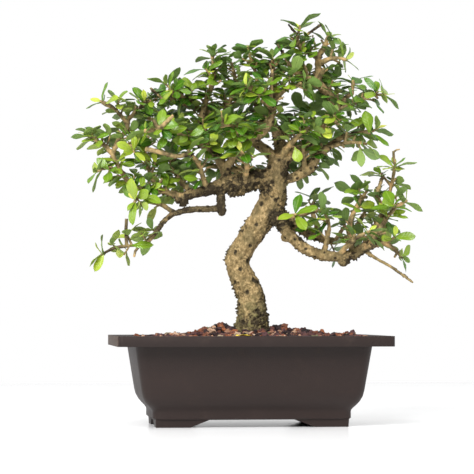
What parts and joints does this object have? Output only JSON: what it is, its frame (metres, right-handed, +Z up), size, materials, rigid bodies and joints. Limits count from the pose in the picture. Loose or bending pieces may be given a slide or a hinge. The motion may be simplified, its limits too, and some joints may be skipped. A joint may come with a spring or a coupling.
{
  "type": "fukien tea bonsai in a training pot",
  "caption": "Small tree with an S-curved trunk, spreading limbs and leafy sprays, growing in a rectangular footed pot filled with soil and lava gravel.",
  "frame": {"origin": "on the surface that the pot stands on, under the middle of the whole object's bounding box", "axes": "+Z up, +X to the right along the pot's long side, -Y towards the front"},
  "size_m": [0.3254, 0.1788, 0.3837],
  "materials": {
    "pot": "dark brown moulded plastic, satin matte with light dust on the lip",
    "soil": "dark crumbly earth",
    "gravel": "dry lava chips from rust orange to dark brown",
    "bark": "tan bark with dark leaf scars and a little moss",
    "leaf": "glossy dark green leaf, paler when young and underneath",
    "yellow_leaf": "yellow withered leaf"
  },
  "bodies": {
    "root": {"pot": "pot", "soil": "soil", "gravel": "gravel", "trunk_and_limbs": "bark", "fallen_leaf": "yellow_leaf", "spray_apex": "leaf", "spray_back_left": "leaf", "spray_back_limb": "leaf", "spray_back_right_low": "leaf", "spray_crown_back": "leaf", "spray_crown_back_left": "leaf", "spray_crown_back_right": "leaf", "spray_crown_left": "leaf", "spray_crown_left_front": "leaf", "spray_crown_left_up": "leaf", "spray_crown_mid": "leaf", "spray_crown_mid_right": "leaf", "spray_crown_right": "leaf", "spray_crown_right_back": "leaf", "spray_crown_right_front": "leaf", "spray_crown_top_left": "leaf", "spray_fork_shoot": "leaf", "spray_front_high": "leaf", "spray_front_left": "leaf", "spray_front_mid": "leaf", "spray_front_right": "leaf", "spray_inner_shoot": "leaf", "spray_left_high": "leaf", "spray_left_inner": "leaf", "spray_left_low": "leaf", "spray_left_mid": "leaf", "spray_left_rise": "leaf", "spray_left_tip": "leaf", "spray_left_under": "leaf", "spray_limb_back_shoot": "leaf", "spray_limb_front_shoot": "leaf", "spray_low_left": "leaf", "spray_low_left_up": "leaf", "spray_low_right": "leaf", "spray_low_right_back": "leaf", "spray_low_right_far": "leaf", "spray_low_right_front": "leaf", "spray_low_right_high": "leaf", "spray_low_right_rise": "leaf", "spray_low_right_side": "leaf", "spray_right_back": "leaf", "spray_right_limb": "leaf", "spray_right_limb_low": "leaf", "spray_right_shoot": "leaf", "spray_right_tip": "leaf", "spray_right_twig": "leaf", "spray_rise": "leaf", "spray_second_right": "leaf", "spray_second_right_up": "leaf", "spray_thin_shoot": "leaf", "spray_top": "leaf", "spray_top_right": "leaf"}
  },
  "joints": []
}
